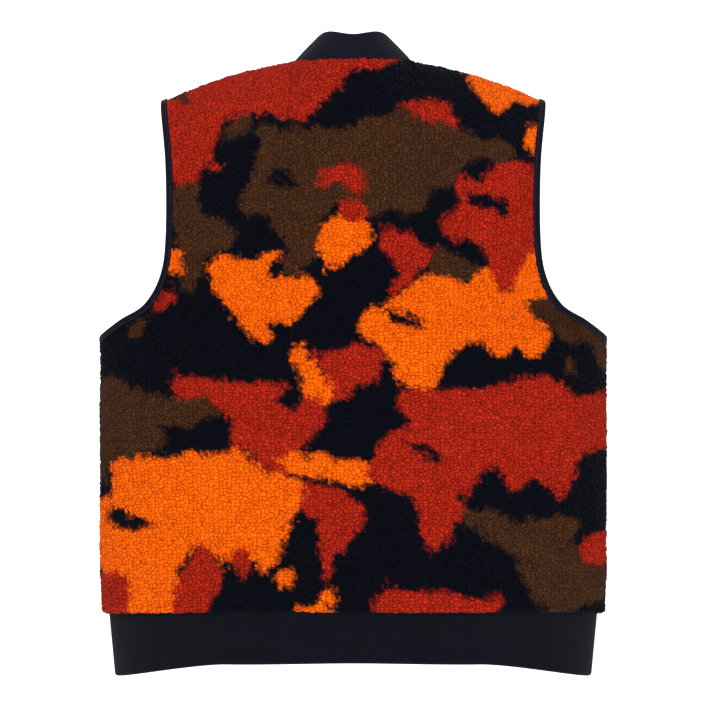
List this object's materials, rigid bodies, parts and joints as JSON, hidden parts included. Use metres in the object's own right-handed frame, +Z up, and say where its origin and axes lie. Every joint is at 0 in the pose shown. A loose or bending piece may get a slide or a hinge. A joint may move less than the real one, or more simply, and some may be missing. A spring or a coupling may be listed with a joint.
{
  "type": "fleece vest",
  "caption": "Sleeveless zip-front fleece vest in orange, rust, brown and navy camouflage, with a ribbed stand collar, bound armholes, a ribbed hem and slit hand pockets.",
  "frame": {"origin": "midway between the two points where the shoulder seams meet the neck, where a hanger carries the vest", "axes": "+Z up, +X to the wearer's left, -Y out of the zip front, so the back panel faces +Y"},
  "size_m": [0.5636, 0.1647, 0.7054],
  "materials": {
    "fleece": "curly pile",
    "rib": "rib knit",
    "binding": "knit",
    "tape": "woven",
    "lining": "plain weave",
    "label": "satin weave",
    "teeth": "moulded",
    "metal": "satin"
  },
  "bodies": {
    "shell": {"back_panel": "fleece", "hem_rib_back": "rib", "collar_back": "rib", "back_yoke_facing": "lining", "neck_tape": "tape", "hanger_loop": "tape", "neck_label": "label", "left_side_panel": "fleece", "hem_rib_left_side": "rib", "collar_left_side": "rib", "armhole_binding_left_front": "binding", "armhole_binding_left_back": "binding", "right_side_panel": "fleece", "hem_rib_right_side": "rib", "collar_right_side": "rib", "armhole_binding_right_front": "binding", "armhole_binding_right_back": "binding"},
    "left_front": {"left_front_panel": "fleece", "hem_rib_left_front": "rib", "collar_left_front": "rib", "pocket_welt_left": "binding", "pocket_bag_left": "lining", "zip_tape_left": "tape", "zip_teeth_left": "teeth", "zip_top_stop_left": "metal", "zip_insertion_pin": "teeth"},
    "right_front": {"right_front_panel": "fleece", "hem_rib_right_front": "rib", "collar_right_front": "rib", "pocket_welt_right": "binding", "pocket_bag_right": "lining", "zip_tape_right": "tape", "zip_teeth_right": "teeth", "zip_top_stop_right": "metal", "zip_retainer_box": "teeth"},
    "slider": {"zip_slider": "metal"},
    "pull": {"zip_pull": "metal"}
  },
  "joints": [
    {"name": "left_front_open", "type": "hinge", "parent": "shell", "child": "left_front", "pos_m": [0.058, -0.082, -0.055], "axis": [-0.2914, -0.0209, 0.9564], "range_deg": [0, 80]},
    {"name": "right_front_open", "type": "hinge", "parent": "shell", "child": "right_front", "pos_m": [-0.058, -0.082, -0.055], "axis": [-0.2914, 0.0209, -0.9564], "range_deg": [0, 80]},
    {"name": "zip_slide", "type": "slide", "parent": "right_front", "child": "slider", "axis": [0, 0, -1], "range_m": [0, 0.575]},
    {"name": "pull_swing", "type": "hinge", "parent": "slider", "child": "pull", "pos_m": [0, -0.0805, -0.0587], "axis": [-1, 0, 0], "range_deg": [0, 170]}
  ]
}
